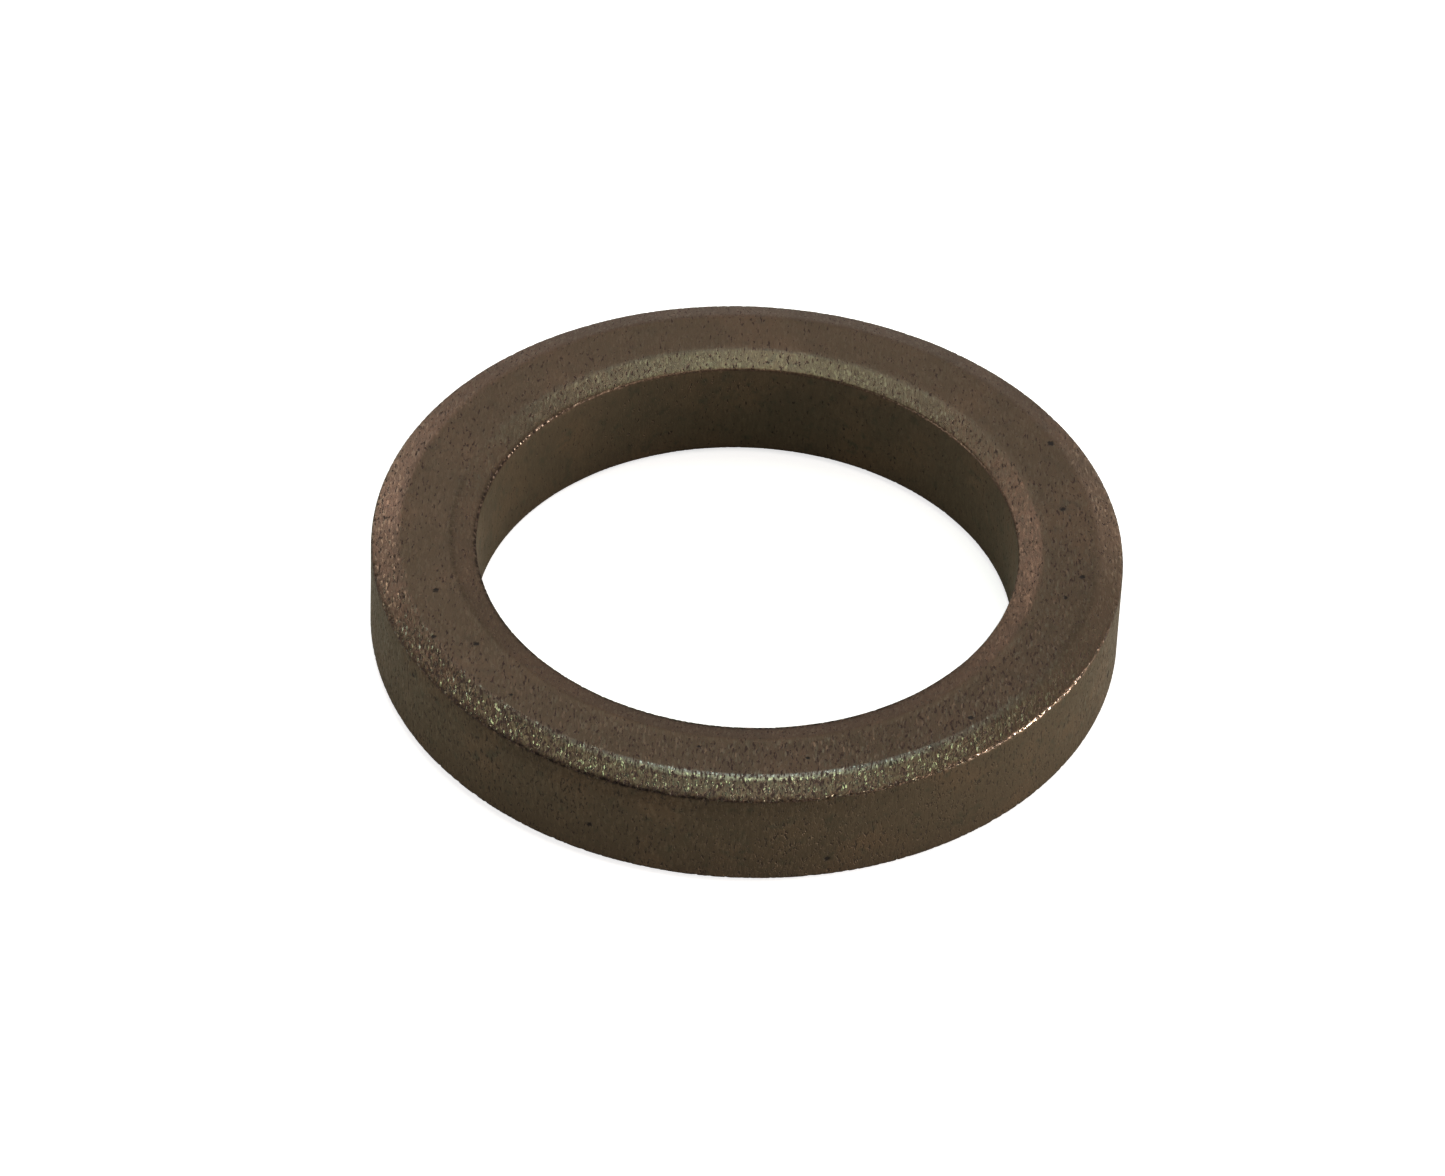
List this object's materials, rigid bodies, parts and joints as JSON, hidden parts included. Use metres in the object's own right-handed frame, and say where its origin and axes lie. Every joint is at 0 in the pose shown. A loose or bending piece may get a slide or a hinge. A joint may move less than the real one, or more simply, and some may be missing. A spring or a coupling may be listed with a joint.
{
  "type": "sleeve bushing",
  "caption": "Short plain sleeve bushing: a sintered bronze ring with a running bore, a press-fit outside wall and bevelled edges.",
  "frame": {"origin": "centre of the lower end face, on the bore axis, so the ring stands on the XY plane", "axes": "+Z along the bore axis, towards the upper end face; X and Y are any two directions across the ring"},
  "size_m": [0.025, 0.025, 0.004],
  "materials": {
    "sintered_bronze": "satin"
  },
  "bodies": {
    "root": {"sleeve_bushing": "sintered_bronze"}
  },
  "joints": []
}
